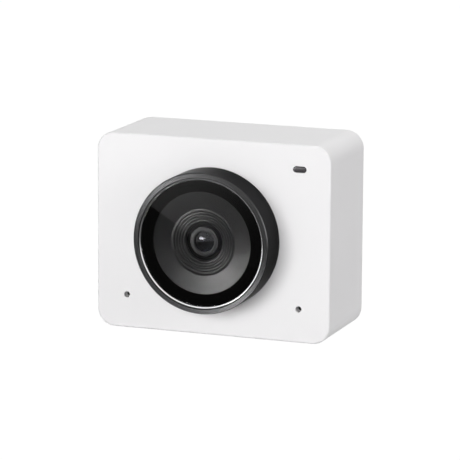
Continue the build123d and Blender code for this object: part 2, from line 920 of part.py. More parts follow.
def make_microphone_boards():
    """Small boards behind the face that carry the microphones."""
    levels = (mic_board_y, mic_board_back_y)
    boards = []
    for side in (-1, 1):
        middle_x = side * (mic_x + mic_board_overhang - mic_board_length / 2)
        board = block(mic_board_length, mic_board_height, *levels, middle_x, mic_z)
        board -= disc(mic_port_radius, *levels, side * mic_x, mic_z)
        board -= disc(mic_screw_radius + screw_hole_gap, *levels, side * mic_screw_x, mic_z)
        for x, z in corner_posts:
            board -= disc(corner_post_radius + board_corner_clearance, *levels, x, z)
        boards.append(board)
    return group(boards)


def make_microphones():
    """Microphones on the back of their boards, listening through the port."""
    back = mic_board_back_y + mic_thickness
    return group(block(mic_width, mic_height, mic_board_back_y, back, x, z) for x, z in mic_places)


def make_microphone_gaskets():
    """Foam rings that seal each microphone's port to the face."""
    ring = Circle(mic_gasket_radius) - Circle(mic_gasket_hole_radius)
    return group(slab(ring, mic_gasket_y, mic_board_y, x, z) for x, z in mic_places)


def make_microphone_meshes():
    """Thin woven discs behind the microphone holes."""
    return group(disc(mic_mesh_radius, inner_y, mic_gasket_y, x, z) for x, z in mic_places)


def make_led_light_pipe():
    """Clear bar from the light on the board to the small window in the face, with a glued flange."""
    window = SlotOverall(led_window_width, led_window_height)
    margin = 2 * led_flange_margin
    flange = SlotOverall(led_window_width + margin, led_window_height + margin)
    rear = main_board_y - led_thickness - led_air_gap
    bar = slab(window, face_y + led_recess, rear, led_x, led_z)
    return bar + slab(flange, inner_y, inner_y + led_flange_thickness, led_x, led_z)


def make_status_led():
    """Light on the front of the main board, behind the light pipe."""
    return block(led_width, led_height, main_board_y - led_thickness, main_board_y, led_x, led_z)


def make_usb_socket_shell():
    """Drawn metal shell of the socket."""
    outer = SlotOverall(socket_width, socket_height)
    inner = SlotOverall(socket_width - 2 * socket_wall, socket_height - 2 * socket_wall)
    return slab(outer - inner, main_board_back_y, back_y - socket_recess, 0, socket_z)


def make_usb_socket_tongue():
    """Plastic core of the socket: a base that fills the shell and the flat tongue in its mouth."""
    fill = SlotOverall(socket_width - 2 * socket_wall - fit_gap, socket_height - 2 * socket_wall - fit_gap)
    base_back = main_board_back_y + tongue_base_depth
    core = slab(fill, main_board_back_y, base_back, 0, socket_z)
    tongue = Rectangle(tongue_width, tongue_thickness)
    return core + slab(tongue, base_back, back_y - socket_recess - tongue_setback, 0, socket_z)


def screws(places, seat, radius, head_radius, head_height, length, facing=1):
    """The same screw at each place."""
    return group(screw(place, seat, radius, head_radius, head_height, length, facing) for place in places)


def make_cover_screws():
    """Screws that hold the rear cover to the corner posts."""
    seat = back_y - cover_counterbore_depth
    sizes = (cover_screw_radius, cover_screw_head_radius, cover_screw_head_height, cover_screw_length)
    return screws(corner_posts, seat, *sizes)


def make_bezel_screws():
    """Screws from inside the shell into the bezel."""
    length = front_wall + bezel_screw_reach
    sizes = (bezel_screw_radius, bezel_screw_head_radius, bezel_screw_head_height, length)
    return screws(bezel_screw_places, inner_y, *sizes)


def make_spreader_screws():
    """Screws that hold the heat spreader to its posts."""
    length = spreader_thickness + spreader_screw_bite
    sizes = (spreader_screw_radius, spreader_screw_head_radius, spreader_screw_head_height, length)
    return screws(spreader_posts, spreader_back_y, *sizes)


def make_sensor_board_screws():
    """Screws through the sensor board into the heat spreader, heads to the front."""
    length = sensor_board_thickness + pad_thickness + spreader_thickness
    sizes = (sensor_screw_radius, sensor_screw_head_radius, sensor_screw_head_height, length)
    return screws(sensor_screw_places, sensor_board_y, *sizes, facing=-1)


def make_board_screws():
    """Screws that hold the main board to its posts."""
    length = board_thickness + board_screw_bite
    sizes = (board_screw_radius, board_screw_head_radius, board_screw_head_height, length)
    return screws(board_posts, main_board_back_y, *sizes)


def make_microphone_screws():
    """Screws that hold the microphone boards."""
    length = mic_board_thickness + mic_screw_bite
    sizes = (mic_screw_radius, mic_screw_head_radius, mic_screw_head_height, length)
    return screws(mic_screw_places, mic_board_back_y, *sizes)


pieces = {
    "front_housing": make_front_housing(),
    "rear_cover": make_rear_cover(),
    "tripod_insert": make_tripod_insert(),
    "lens_bezel": make_lens_bezel(),
    "trim_ring": make_trim_ring(),
    "cover_glass": make_cover_glass(),
    "glass_mask": make_glass_mask(),
    "lens_funnel": make_lens_funnel(),
    "module_gasket": make_module_gasket(),
    "actuator_can": make_actuator_can(),
    "actuator_frame": make_actuator_frame(),
    "upper_leaf_spring": make_leaf_spring(upper_spring_y),
    "lower_leaf_spring": make_leaf_spring(carrier_back_y),
    "lens_carrier": make_lens_carrier(),
    "actuator_coil": make_actuator_coil(),
    "actuator_magnets": make_actuator_magnets(),
    "actuator_base": make_actuator_base(),
    "lens_barrel": make_lens_barrel(),
    "front_lens_element": make_lens_element(0),
    "second_lens_element": make_lens_element(1),
    "third_lens_element": make_lens_element(2),
    "fourth_lens_element": make_lens_element(3),
    "lens_spacers": make_lens_spacers(),
    "lens_retainer": make_lens_retainer(),
    "infrared_filter": make_infrared_filter(),
    "image_sensor": make_image_sensor(),
    "sensor_board": make_sensor_board(),
    "sensor_board_screws": make_sensor_board_screws(),
    "thermal_pad": make_thermal_pad(),
    "heat_spreader": make_heat_spreader(),
    "spreader_screws": make_spreader_screws(),
    "sensor_flex": make_sensor_flex(),
    "main_board": make_main_board(),
    "board_screws": make_board_screws(),
    "processor_chip": on_board(processor_size, processor_size, processor_thickness, processor_x, chip_z),
    "memory_chip": on_board(memory_width, memory_height, memory_thickness, memory_x, chip_z),
    "board_components": make_board_components(),
    "board_connectors": make_board_connectors(),
    "usb_socket_shell": make_usb_socket_shell(),
    "usb_socket_tongue": make_usb_socket_tongue(),
    "status_led": make_status_led(),
    "led_light_pipe": make_led_light_pipe(),
    "microphones": make_microphones(),
    "microphone_boards": make_microphone_boards(),
    "microphone_gaskets": make_microphone_gaskets(),
    "microphone_meshes": make_microphone_meshes(),
    "microphone_screws": make_microphone_screws(),
    "microphone_flexes": make_microphone_flexes(),
    "cover_screws": make_cover_screws(),
    "bezel_screws": make_bezel_screws(),
}

os.makedirs("parts", exist_ok=True)
for name, piece in pieces.items():
    export_step(piece, f"parts/{name}.step")
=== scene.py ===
import json
import math

import bpy
import numpy as np
from mathutils import Matrix, Vector


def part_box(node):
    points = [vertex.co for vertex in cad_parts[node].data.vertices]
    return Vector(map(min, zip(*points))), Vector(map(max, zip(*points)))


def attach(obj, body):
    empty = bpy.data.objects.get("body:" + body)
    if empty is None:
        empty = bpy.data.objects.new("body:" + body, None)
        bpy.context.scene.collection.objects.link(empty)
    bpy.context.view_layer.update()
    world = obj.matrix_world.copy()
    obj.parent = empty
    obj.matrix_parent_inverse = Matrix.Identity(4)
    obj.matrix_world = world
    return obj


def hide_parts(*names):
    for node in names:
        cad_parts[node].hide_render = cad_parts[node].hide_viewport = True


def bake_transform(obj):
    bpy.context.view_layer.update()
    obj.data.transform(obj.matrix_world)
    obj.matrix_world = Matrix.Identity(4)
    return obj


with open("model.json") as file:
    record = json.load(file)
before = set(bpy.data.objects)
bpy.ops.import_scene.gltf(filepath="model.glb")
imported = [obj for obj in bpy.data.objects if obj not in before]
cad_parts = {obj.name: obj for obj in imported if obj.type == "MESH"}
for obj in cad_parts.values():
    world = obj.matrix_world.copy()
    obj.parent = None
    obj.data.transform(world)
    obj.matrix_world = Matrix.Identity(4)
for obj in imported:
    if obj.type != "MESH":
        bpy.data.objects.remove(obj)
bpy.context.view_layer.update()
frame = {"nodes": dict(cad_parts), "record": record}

# Metres. X is to the right, the lens looks along -Y, +Z is up.
MM = 0.001

# Levels and radii that the frame gives
housing_low, housing_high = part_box("front_housing")
face_y = housing_low.y
lens_z = (housing_low.z + housing_high.z) / 2


def radius_of(name):
    """Radius of a round piece on the lens axis."""
    low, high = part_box(name)
    return (high.x - low.x) / 2


def levels_of(name):
    """Front and back of a piece along Y."""
    low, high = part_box(name)
    return low.y, high.y


# Meshes from grids and turned profiles

lens_axis = (0.0, lens_z)
# Points round a flat bar and along a rounded edge
bar_sides = 12
edge_points = 5


def smooth_step(value):
    """0 under 0, 1 over 1, and 3v^2 - 2v^3 between."""
    v = np.clip(value, 0, 1)
    return v * v * (3 - 2 * v)


def grid_faces(rows, columns, rows_closed, columns_closed):
    """Quads between neighbouring points of a grid, as places in the flattened grid."""
    row = np.arange(rows if rows_closed else rows - 1)
    column = np.arange(columns if columns_closed else columns - 1)
    row, column = np.meshgrid(row, column, indexing="ij")
    next_row = (row + 1) % rows
    next_column = (column + 1) % columns
    corners = [
        row * columns + column,
        next_row * columns + column,
        next_row * columns + next_column,
        row * columns + next_column,
    ]
    return np.stack(corners, -1).reshape(-1, 4)


def cap_faces(ring, pole):
    """Triangles from a ring of points to a pole, turned as the faces of a grid that starts with it."""
    return np.stack([ring, np.roll(ring, -1), np.full_like(ring, pole)], -1)


def around(radius, level, sides, middle, upright=False):
    """Points at a radius and a level carried round an axis along Y, or along Z where upright.

    At angle a they are (x0 + r cos a, level, z0 + r sin a), or (x0 + r cos a, y0 + r sin a, level).
    """
    angle = np.linspace(0, 2 * math.pi, sides, endpoint=False)
    radius = np.reshape(radius, (len(radius), -1))
    level = np.reshape(level, (len(level), -1))
    across = middle[0] + radius * np.cos(angle)
    along = middle[1] + radius * np.sin(angle)
    level = np.broadcast_to(level, across.shape)
    order = (across, along, level) if upright else (across, level, along)
    return np.stack(order, -1).reshape(-1, 3)


def ring_form(radius, level, sides, middle=lens_axis, upright=False):
    """Ring: a closed profile of radius and level carried round an axis that it stays clear of."""
    points = around(radius, level, sides, middle, upright)
    return points, [grid_faces(len(radius), sides, True, True)]


def solid_form(radius, level, sides, middle=lens_axis):
    """Solid: a profile that starts and ends on its axis, carried round it. Each end is one point."""
    points = around(radius[1:-1], level[1:-1], sides, middle)
    ends = around([0, 0], [np.mean(level[0]), np.mean(level[-1])], 1, middle)
    rows = len(radius) - 2
    first = np.arange(sides)
    last = first + (rows - 1) * sides
    faces = [
        grid_faces(rows, sides, False, True),
        cap_faces(first, len(points)),
        cap_faces(last[::-1], len(points) + 1),
    ]
    return np.vstack([points, ends]), faces


def strip_form(centre, half_width, half_thickness, across, up):
    """Flat bar along a row of points: a rounded rectangle carried along them, closed at both ends.

    Its outline at angle a is centre + w c across + t s up, where c is the square root of |cos a| with
    the sign of cos a, and s is the same of sin a.
    """
    angle = np.linspace(0, 2 * math.pi, bar_sides, endpoint=False)
    c = np.sign(np.cos(angle)) * np.sqrt(np.abs(np.cos(angle)))
    s = np.sign(np.sin(angle)) * np.sqrt(np.abs(np.sin(angle)))
    points = (
        centre[:, None]
        + half_width * c[None, :, None] * across[:, None]
        + half_thickness * s[None, :, None] * up[:, None]
    )
    rows, columns = points.shape[:2]
    first = np.arange(columns)
    last = first + (rows - 1) * columns
    points = np.vstack([points.reshape(-1, 3), centre[:1], centre[-1:]])
    faces = [
        grid_faces(rows, columns, False, True),
        cap_faces(first, rows * columns),
        cap_faces(last[::-1], rows * columns + 1),
    ]
    return points, faces


def joined(forms):
    """Several forms as one."""
    all_points, all_faces, start = [], [], 0
    for points, faces in forms:
        all_points.append(points)
        all_faces += [f + start for f in faces]
        start += len(points)
    return np.vstack(all_points), all_faces


def signed_volume(points, faces):
    """Volume inside the faces: a sixth of the sum of each triangle's triple product."""
    total = 0.0
    for k in range(1, faces.shape[1] - 1):
        a, b, c = points[faces[:, 0]], points[faces[:, k]], points[faces[:, k + 1]]
        total += np.einsum("ij,ij->", a, np.cross(b, c))
    return total / 6


def outward(form):
    """The form with its faces turned outwards."""
    points, faces = form
    if sum(signed_volume(points, f) for f in faces) < 0:
        faces = [f[:, ::-1] for f in faces]
    return points, faces


def add_piece(name, form, finish, body="camera_body", stands_for=(), sharp_angle=32.0):
    """Mesh object from a form, riding on a body and standing for CAD nodes."""
    points, faces = outward(form)
    mesh = bpy.data.meshes.new(name)
    mesh.from_pydata(points.tolist(), [], [f for group in faces for f in group.tolist()])
    mesh.materials.append(finishes[finish])
    mesh.shade_smooth()
    mesh.set_sharp_from_angle(angle=math.radians(sharp_angle))
    piece = bpy.data.objects.new(name, mesh)
    bpy.context.scene.collection.objects.link(piece)
    if body:
        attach(piece, body)
    if stands_for:
        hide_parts(*stands_for)
    return piece


def eased(corners, setbacks):
    """Closed profile whose corners are rounded by parabolas between points set back from them.

    At t a parabola lies at (1-t)^2 before + 2t(1-t) corner + t^2 after.
    """
    corners = np.asarray(corners, float)
    setbacks = np.broadcast_to(setbacks, len(corners))[:, None]
    toward_last = np.roll(corners, 1, 0) - corners
    toward_next = np.roll(corners, -1, 0) - corners
    before = corners + setbacks * toward_last / np.linalg.norm(toward_last, axis=1, keepdims=True)
    after = corners + setbacks * toward_next / np.linalg.norm(toward_next, axis=1, keepdims=True)
    t = np.linspace(0, 1, edge_points)[None, :, None]
    curve = (1 - t) ** 2 * before[:, None] + 2 * t * (1 - t) * corners[:, None] + t**2 * after[:, None]
    return curve.reshape(-1, 2)


# Finishes

blotch_detail = 3.0
line_detail = 2.0
turned_line_width = 0.05 * MM
turned_line_depth = 0.001 * MM
turned_spread = 0.05
noise_low = 0.3
noise_high = 0.7
slow_change = 20
smudge_size = 1.5 * MM
smudge_roughness = 0.002


def add_node(material, kind, **settings):
    """Shader node with its settings."""
    node = material.node_tree.nodes.new("ShaderNode" + kind)
    for key, value in settings.items():
        setattr(node, key, value)
    return node


def link(material, source, target):
    """Joins an output to an input."""
    material.node_tree.links.new(source, target)


def new_finish(name, colour, roughness, **sockets):
    """Material with one Principled shader. Sockets are named with _ for a space."""
    material = bpy.data.materials.new(name)
    material.use_nodes = True
    shader = material.node_tree.nodes["Principled BSDF"]
    shader.inputs["Base Color"].default_value = (*colour, 1.0)
    shader.inputs["Roughness"].default_value = roughness
    for key, value in sockets.items():
        shader.inputs[key.replace("_", " ")].default_value = value
    return material


def shader_of(material):
    """The material's Principled shader."""
    return material.node_tree.nodes["Principled BSDF"]


def blotches(material, size):
    """Noise in object coordinates with blotches about size across; gives 0 to 1."""
    place = add_node(material, "TexCoord").outputs["Object"]
    noise = add_node(material, "TexNoise")
    noise.inputs["Scale"].default_value = 1 / size
    noise.inputs["Detail"].default_value = blotch_detail
    link(material, place, noise.inputs["Vector"])
    return noise.outputs["Fac"]


def profile_length(material):
    """Distance from the lens axis plus the place along it: it grows steadily along a turned profile."""
    place = add_node(material, "TexCoord").outputs["Object"]
    from_axis = add_node(material, "VectorMath", operation="SUBTRACT")
    from_axis.inputs[1].default_value = (0, 0, lens_z)
    link(material, place, from_axis.inputs[0])
    flat = add_node(material, "VectorMath", operation="MULTIPLY")
    flat.inputs[1].default_value = (1, 0, 1)
    link(material, from_axis.outputs["Vector"], flat.inputs[0])
    radius = add_node(material, "VectorMath", operation="LENGTH")
    link(material, flat.outputs["Vector"], radius.inputs[0])
    along = add_node(material, "SeparateXYZ")
    link(material, place, along.inputs["Vector"])
    total = add_node(material, "Math", operation="ADD")
    link(material, radius.outputs["Value"], total.inputs[0])
    link(material, along.outputs["Y"], total.inputs[1])
    return total.outputs["Value"]


def turned_lines(material, width):
    """Fine lines left by turning: noise along the profile only; gives 0 to 1."""
    noise = add_node(material, "TexNoise", noise_dimensions="1D")
    noise.inputs["Scale"].default_value = 1 / width
    noise.inputs["Detail"].default_value = line_detail
    link(material, profile_length(material), noise.inputs["W"])
    return noise.outputs["Fac"]


def vary(material, source, socket, low, high):
    """Varies one number of the shader between low and high, as the source goes over the noise's span."""
    span = add_node(material, "MapRange")
    span.inputs["From Min"].default_value = noise_low
    span.inputs["From Max"].default_value = noise_high
    span.inputs["To Min"].default_value = low
    span.inputs["To Max"].default_value = high
    link(material, source, span.inputs["Value"])
    link(material, span.outputs["Result"], shader_of(material).inputs[socket])


def vary_colour(material, source, dark, light):
    """Blends the base colour between two tones."""
    mix = add_node(material, "Mix", data_type="RGBA")
    colours = [s for s in mix.inputs if s.type == "RGBA"]
    colours[0].default_value = (*dark, 1.0)
    colours[1].default_value = (*light, 1.0)
    link(material, source, mix.inputs["Factor"])
    result = [s for s in mix.outputs if s.type == "RGBA"][0]
    link(material, result, shader_of(material).inputs["Base Color"])


def emboss(material, source, depth):
    """Bump of the given depth in metres."""
    bump = add_node(material, "Bump")
    bump.inputs["Strength"].default_value = 1.0
    bump.inputs["Distance"].default_value = depth
    link(material, source, bump.inputs["Height"])
    link(material, bump.outputs["Normal"], shader_of(material).inputs["Normal"])


def scaled(colour, share):
    """Colour times a share."""
    return tuple(min(1.0, c * share) for c in colour)


def grained(
    name, colour, roughness, grain=0.15 * MM, depth=0.002 * MM, spread=0.05, mottle=0.03, **sockets
):
    """Moulded or cast surface: fine bumps, with slow changes of tone and roughness."""
    material = new_finish(name, colour, roughness, **sockets)
    emboss(material, blotches(material, grain), depth)
    slow = blotches(material, slow_change * grain)
    vary(material, slow, "Roughness", roughness - spread, roughness + spread)
    vary_colour(material, slow, scaled(colour, 1 - mottle), scaled(colour, 1 + mottle))
    return material


def turned_metal(name, colour, roughness, mottle=0.1, **sockets):
    """Surface with fine lines round the lens axis."""
    material = new_finish(name, colour, roughness, **sockets)
    lines = turned_lines(material, turned_line_width)
    emboss(material, lines, turned_line_depth)
    vary(material, lines, "Roughness", roughness - turned_spread, roughness + turned_spread)
    vary_colour(material, lines, scaled(colour, 1 - mottle), scaled(colour, 1 + mottle))
    return material


def clear_glass(name, tint, ior, coating):
    """Coated glass that lets the lamps through: its shadow rays pass straight on."""
    material = new_finish(name, tint, 0.0, IOR=ior, Transmission_Weight=1.0, Specular_Tint=coating)
    nodes = material.node_tree.nodes
    output = nodes["Material Output"]
    path = add_node(material, "LightPath")
    clear = add_node(material, "BsdfTransparent")
    clear.inputs["Color"].default_value = (*tint, 1.0)
    mix = add_node(material, "MixShader")
    link(material, path.outputs["Is Shadow Ray"], mix.inputs[0])
    link(material, shader_of(material).outputs[0], mix.inputs[1])
    link(material, clear.outputs[0], mix.inputs[2])
    link(material, mix.outputs[0], output.inputs["Surface"])
    vary(material, blotches(material, smudge_size), "Roughness", 0.0, smudge_roughness)
    return material


# Tints of the shine: of the bezel's edge, of plain glass and of coated glass
dark_edge = (0.36, 0.36, 0.36, 1.0)
plain = (1.0, 1.0, 1.0, 1.0)
coated = (0.3, 0.3, 0.3, 1.0)
lens_coated = (0.7, 0.7, 0.74, 1.0)

shell_white = (0.885, 0.880, 0.885)
foam_grain = 0.2 * MM
foam_depth = 0.02 * MM
polished_depth = 0.0002 * MM

# After the name come colour and roughness, or for glass its tint, its refractive index and the tint
# of its shine
finishes = {
    "white_shell": grained("white_shell", shell_white, 0.45, mottle=0.004, Specular_IOR_Level=0.35),
    "bezel_metal": turned_metal(
        "bezel_metal", (0.06, 0.06, 0.061), 0.28, Metallic=1.0, Specular_Tint=dark_edge
    ),
    "trim_metal": turned_metal("trim_metal", (0.85, 0.85, 0.86), 0.2, mottle=0.02, Metallic=1.0),
    "window_glass": clear_glass("window_glass", (0.98, 0.98, 0.98), 1.5, plain),
    "mask_black": grained("mask_black", (0.002, 0.002, 0.002), 0.6, Specular_IOR_Level=0.0),
    "funnel_black": grained(
        "funnel_black",
        (0.003, 0.003, 0.0031),
        0.3,
        depth=polished_depth,
        spread=0.02,
        Specular_IOR_Level=0.27,
    ),
    # The foam is made darker and less shiny than its own black, so that the gap round the lens barrel
    # shows black: painted shade.
    "foam_black": grained(
        "foam_black",
        (0.004, 0.004, 0.004),
        0.9,
        grain=foam_grain,
        depth=foam_depth,
        Specular_IOR_Level=0.05,
    ),
    # Motor steel, spring metal and motor plastic are made darker and less shiny than their own colours,
    # so that the gap round the lens barrel shows black: painted shade.
    "motor_steel": grained("motor_steel", (0.003, 0.003, 0.003), 0.5, Specular_IOR_Level=0.04),
    "spring_metal": grained("spring_metal", (0.004, 0.004, 0.004), 0.45, Specular_IOR_Level=0.04),
    "motor_plastic": grained("motor_plastic", (0.003, 0.003, 0.003), 0.6, Specular_IOR_Level=0.04),
    "coil_copper": grained("coil_copper", (0.75, 0.36, 0.2), 0.3, Metallic=1.0),
    "magnet_nickel": grained("magnet_nickel", (0.6, 0.58, 0.55), 0.25, Metallic=1.0),
    "barrel_black": turned_metal("barrel_black", (0.012, 0.012, 0.0125), 0.35, Specular_IOR_Level=0.3),
    "lens_glass": clear_glass("lens_glass", (0.45, 0.47, 0.52), 1.6, lens_coated),
    "filter_glass": clear_glass("filter_glass", (0.7, 0.9, 0.95), 1.5, coated),
    "sensor_silicon": grained("sensor_silicon", (0.05, 0.07, 0.1), 0.2),
    "circuit_board": grained("circuit_board", (0.02, 0.06, 0.045), 0.4),
    "pad_grey": grained("pad_grey", (0.45, 0.47, 0.5), 0.8),
    "spreader_metal": grained("spreader_metal", (0.75, 0.75, 0.76), 0.35, Metallic=1.0),
    "ribbon_film": grained("ribbon_film", (0.35, 0.16, 0.04), 0.3),
    "chip_black": grained("chip_black", (0.03, 0.03, 0.03), 0.6),
    "component_grey": grained("component_grey", (0.3, 0.28, 0.25), 0.5),
    "connector_black": grained("connector_black", (0.04, 0.04, 0.04), 0.5),
    "socket_steel": grained("socket_steel", (0.6, 0.6, 0.61), 0.3, Metallic=1.0),
    "socket_black": grained("socket_black", (0.02, 0.02, 0.02), 0.5),
    "led_lamp": grained("led_lamp", (0.9, 0.88, 0.7), 0.3),
    "pipe_smoke": grained("pipe_smoke", (0.052, 0.048, 0.052), 0.25),
    "insert_brass": grained("insert_brass", (0.72, 0.55, 0.28), 0.35, Metallic=1.0),
    "mesh_steel": grained("mesh_steel", (0.08, 0.08, 0.08), 0.4, Metallic=1.0),
    "microphone_metal": grained("microphone_metal", (0.65, 0.62, 0.55), 0.35, Metallic=1.0),
    "screw_steel": grained("screw_steel", (0.5, 0.5, 0.51), 0.3, Metallic=1.0),
    "screw_dark": grained("screw_dark", (0.12, 0.12, 0.125), 0.35, Metallic=1.0),
}

for part in frame["record"]["subparts"]:
    node = frame["nodes"][part["node"]]
    node.data.materials.clear()
    node.data.materials.append(finishes[part["material_slot"]])


# Turned pieces round the lens

trim_gap = 0.12 * MM
glass_gap = 0.05 * MM
spigot_radius = 11.5 * MM
spigot_wall = 0.9 * MM
pocket_depth = 2.1 * MM
fit_gap = 0.05 * MM
bezel_chamfer = 0.15 * MM
rim_chamfer = 0.06 * MM
trim_edge = 0.05 * MM
trim_slope = 0.09 * MM
groove_count = 4
groove_depth = 0.03 * MM
groove_points = 10
trim_bend = 0.4
trim_points = 9
window_edge = 0.08 * MM
ring_sides = 320
funnel_sides = 288
window_sides = 192


def make_bezel():
    """Turned ring whose flat front carries shallow grooves.

    The front's level is the tip plus depth (1 - cos(2 pi k s)) / 2, where s runs from 0 to 1
    across the flat and k is the number of grooves.
    """
    tip, rear = levels_of("lens_bezel")
    ledge = levels_of("trim_ring")[1]
    outer = radius_of("lens_bezel")
    bore = radius_of("trim_ring") + trim_gap
    pocket = radius_of("lens_funnel") + fit_gap
    pocket_floor = tip + pocket_depth
    spigot_bore = spigot_radius - spigot_wall
    s = np.linspace(0, 1, groove_points * groove_count + 1)
    flat_outer = outer - bezel_chamfer
    flat_inner = bore + rim_chamfer
    flat = np.stack([
        flat_outer + (flat_inner - flat_outer) * s,
        tip + groove_depth * (1 - np.cos(2 * math.pi * groove_count * s)) / 2,
    ], -1)
    side = [(outer, face_y), (outer, tip + bezel_chamfer)]
    inside = [
        (bore, tip + rim_chamfer),
        (bore, ledge),
        (pocket, ledge),
        (pocket, pocket_floor),
        (spigot_bore, pocket_floor),
        (spigot_bore, rear),
        (spigot_radius, rear),
        (spigot_radius, face_y),
    ]
    profile = np.vstack([side, flat, inside])
    form = ring_form(profile[:, 0], profile[:, 1], ring_sides)
    return add_piece("turned_bezel", form, "bezel_metal", stands_for=["lens_bezel"])


def make_trim():
    """Polished ring whose front slopes in to the window.

    The slope's level is that of the rim plus d (t + b t^2), as t runs across it from 0 at the outer
    edge to 1 at the inner one, so it is steeper at the window.
    """
    front, rear = levels_of("trim_ring")
    outer = radius_of("trim_ring")
    inner = radius_of("cover_glass") + glass_gap
    t = np.linspace(0, 1, trim_points)
    rim = outer - trim_edge
    radius = np.append(rim + (inner - rim) * t, [inner, outer, outer])
    level = np.append(front + trim_slope * (t + trim_bend * t**2), [rear, rear, front + trim_edge])
    form = ring_form(radius, level, ring_sides)
    return add_piece("polished_trim", form, "trim_metal", stands_for=["trim_ring"], sharp_angle=50.0)


def make_window():
    """Flat round glass with rounded edges.

    A ring of points just inside each edge keeps the faces flat.
    """
    front, rear = levels_of("cover_glass")
    radius = radius_of("cover_glass")
    corners = [(0, front), (radius, front), (radius, rear), (0, rear)]
    edges = eased(corners, [0, window_edge, window_edge, 0])[edge_points : 3 * edge_points]
    flat = radius - 2 * window_edge
    profile = np.vstack([(0, front), (flat, front), edges, (flat, rear), (0, rear)])
    form = solid_form(profile[:, 0], profile[:, 1], window_sides)
    return add_piece("window", form, "window_glass", stands_for=["cover_glass"])


ridge_outer = 6.6 * MM
ridge_inner = 3.95 * MM
ridge_count = 5
ridge_height = 0.1 * MM
ridge_roundness = 0.8
ridge_points = 16
ridges_drop = 0.55 * MM
cone_outer = 10.7 * MM
cone_drop = 0.7 * MM
flange_thickness = 0.85 * MM
hole_radius = 3.87 * MM
hole_chamfer = 0.08 * MM
hub_radius = 5.4 * MM
hub_wall = 0.45 * MM
funnel_bore = 10.6 * MM
cone_points = 12


def make_funnel():
    """Light trap: flange, cone, rounded ridges and hub.

    Across the ridges the level falls evenly from the cone to the hole, less the ridge height times
    |sin(pi k s)| to a power under 1, which gives round crests and narrow valleys.
    """
    front, rear = levels_of("lens_funnel")
    flange = radius_of("lens_funnel")
    seat = front + flange_thickness
    ridges_y = front + cone_drop
    hub_y = rear - hub_wall
    s = np.linspace(0, 1, ridge_points * ridge_count + 1)
    wave = np.abs(np.sin(math.pi * ridge_count * s)) ** ridge_roundness
    ridges = np.stack([
        ridge_outer + (ridge_inner - ridge_outer) * s,
        ridges_y + (hub_y - ridges_y) * s - ridge_height * wave,
    ], -1)
    t = np.linspace(0, 1, cone_points)[:-1]
    cone = np.stack([cone_outer + (ridge_outer - cone_outer) * t, front + cone_drop * t], -1)
    rim = [(flange, seat), (flange, front)]
    inside = [
        (hole_radius, hub_y + hole_chamfer),
        (hole_radius, rear),
        (hub_radius, rear),
        (ridge_outer, ridges_y + ridges_drop),
        (funnel_bore - fit_gap, seat),
    ]
    profile = np.vstack([rim, cone, ridges, inside])
    form = ring_form(profile[:, 0], profile[:, 1], funnel_sides)
    return add_piece("ridged_funnel", form, "funnel_black", stands_for=["lens_funnel"], sharp_angle=60.0)


def thread(level, start, end, pitch, depth, sides):
    """Depth of a screw thread below its crest at each level and angle.

    It is depth times the distance of level / pitch - angle / 2 pi from a whole number, doubled,
    and runs out to nothing within half a pitch of either end.
    """
    turn = np.linspace(0, 1, sides, endpoint=False)
    phase = np.reshape(level, (-1, 1)) / pitch - turn
    wave = 2 * np.abs(phase - np.round(phase))
    from_ends = np.minimum(np.abs(level - start), np.abs(level - end))
    run_out = np.clip(from_ends / (pitch / 2), 0, 1)
    return depth * wave * np.reshape(run_out, (-1, 1))


nose_radius = 2.96 * MM
nose_length = 0.6 * MM
nose_step = 0.13 * MM
ring_foot_radius = 2.64 * MM
ring_outer_radius = 2.6 * MM
ring_inner_radius = 2.18 * MM
mouth_radius = 2.15 * MM
mouth_depth = 0.1 * MM
opening_radius = 2.1 * MM
opening_front = 0.16 * MM
opening_back = 0.3 * MM
nose_edges = np.array([0, 0.08, 0.03, 0.05, 0.04, 0.03, 0.02, 0]) * MM
bore_count = 4
first_bore = 2.27 * MM
bore_growth = 0.1 * MM
first_bore_length = 1.05 * MM
next_bore_length = 0.95 * MM
barrel_thread_start = 0.75 * MM
barrel_thread_pitch = 0.35 * MM
barrel_thread_depth = 0.06 * MM
barrel_thread_rows = 90
barrel_sides = 192


def make_barrel():
    """Lens body: stepped front ring, cone down to the glass, bores that widen inwards.

    A fine thread runs round its outside.
    """
    front, rear = levels_of("lens_barrel")
    outer = radius_of("lens_barrel")
    corners = [
        (nose_radius, front + nose_length),
        (nose_radius, front + nose_step),
        (ring_foot_radius, front + nose_step),
        (ring_outer_radius, front),
        (ring_inner_radius, front),
        (mouth_radius, front + mouth_depth),
        (opening_radius, front + opening_front),
        (opening_radius, front + opening_back),
    ]
    nose = eased(corners, nose_edges)[edge_points - 1 : 1 - edge_points]
    lengths = [0, first_bore_length] + [next_bore_length] * (bore_count - 2)
    starts = front + opening_back + np.cumsum(lengths)
    ends = np.append(starts[1:], rear)
    bores = np.repeat(first_bore + bore_growth * np.arange(bore_count), 2)
    inside = np.stack([bores, np.stack([starts, ends], -1).reshape(-1)], -1)
    profile = np.vstack([nose, inside])
    thread_front = front + barrel_thread_start
    threaded = np.linspace(rear, thread_front, barrel_thread_rows)
    cut = thread(threaded, rear, thread_front, barrel_thread_pitch, barrel_thread_depth, barrel_sides)
    smooth = np.repeat(profile[:, :1], barrel_sides, 1)
    radius = np.vstack([outer - cut, smooth])
    level = np.append(threaded, profile[:, 1])
    form = ring_form(radius, level, barrel_sides)
    return add_piece("lens_body", form, "barrel_black", "lens_group", ["lens_barrel"], sharp_angle=40.0)


glass_clear_radius = 2.08 * MM
glass_bulge = 0.65 * MM
glass_rim_depth = 1.05 * MM
glass_back_radius = 1.75 * MM
glass_hollow = 0.25 * MM
glass_sides = 128
bowl_points = 40


def bowl(clear_radius, rise):
    """Radius and rise of a round cap from its axis to its rim: sqrt(R^2 - r^2) - (R - rise)."""
    curve = (clear_radius**2 + rise**2) / (2 * rise)
    radius = clear_radius * np.sin(np.linspace(0, math.pi / 2, bowl_points))
    return radius, np.sqrt(curve**2 - radius**2) - (curve - rise)


